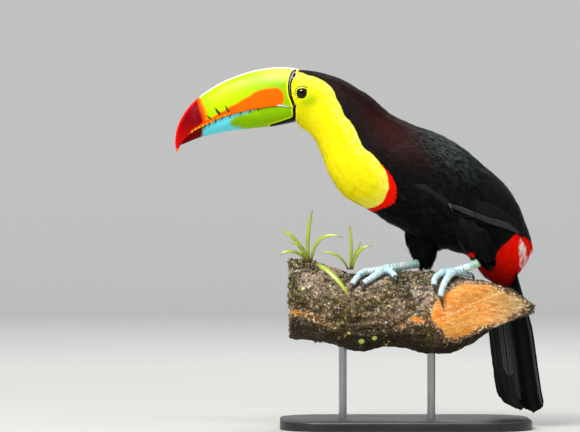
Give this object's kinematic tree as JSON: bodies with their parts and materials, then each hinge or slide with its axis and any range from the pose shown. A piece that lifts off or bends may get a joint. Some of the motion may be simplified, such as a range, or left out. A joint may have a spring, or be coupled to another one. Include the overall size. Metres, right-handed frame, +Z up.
{
  "type": "keel-billed toucan model",
  "caption": "Life-size still model of a keel-billed toucan gripping a cut length of branch, held up by a flat display base with upright rods.",
  "frame": {"origin": "on the floor, under the middle of the stand's base", "axes": "+Z up; the bird faces -X and its left side is towards -Y"},
  "size_m": [0.3675, 0.15, 0.3599],
  "materials": {
    "yellow_plumage": "soft feathers, yellow face, throat and bib",
    "black_plumage": "soft feathers, black with a faint gloss, red under the tail",
    "bill_green": "smooth horn, satin",
    "bill_lower": "smooth horn, satin",
    "eye": "wet gloss",
    "foot_skin": "scaled skin, satin",
    "claw": "horn, satin",
    "bark": "rough bark with moss and a broken face",
    "stand_black": "satin black paint",
    "stand_steel": "satin"
  },
  "bodies": {
    "root": {"head": "yellow_plumage", "neck": "yellow_plumage", "trunk": "black_plumage", "wing_left": "black_plumage", "wing_right": "black_plumage", "tail": "black_plumage", "thigh_left": "black_plumage", "thigh_right": "black_plumage", "bill_upper": "bill_green", "bill_lower": "bill_lower", "eye_left": "eye", "eye_right": "eye", "leg_left": "foot_skin", "leg_right": "foot_skin", "claw_left_1": "claw", "claw_left_2": "claw", "claw_left_3": "claw", "claw_left_4": "claw", "claw_right_1": "claw", "claw_right_2": "claw", "claw_right_3": "claw", "claw_right_4": "claw", "perch_branch": "bark", "stand_base": "stand_black", "stand_rod_front": "stand_steel", "stand_rod_rear": "stand_steel"}
  },
  "joints": []
}
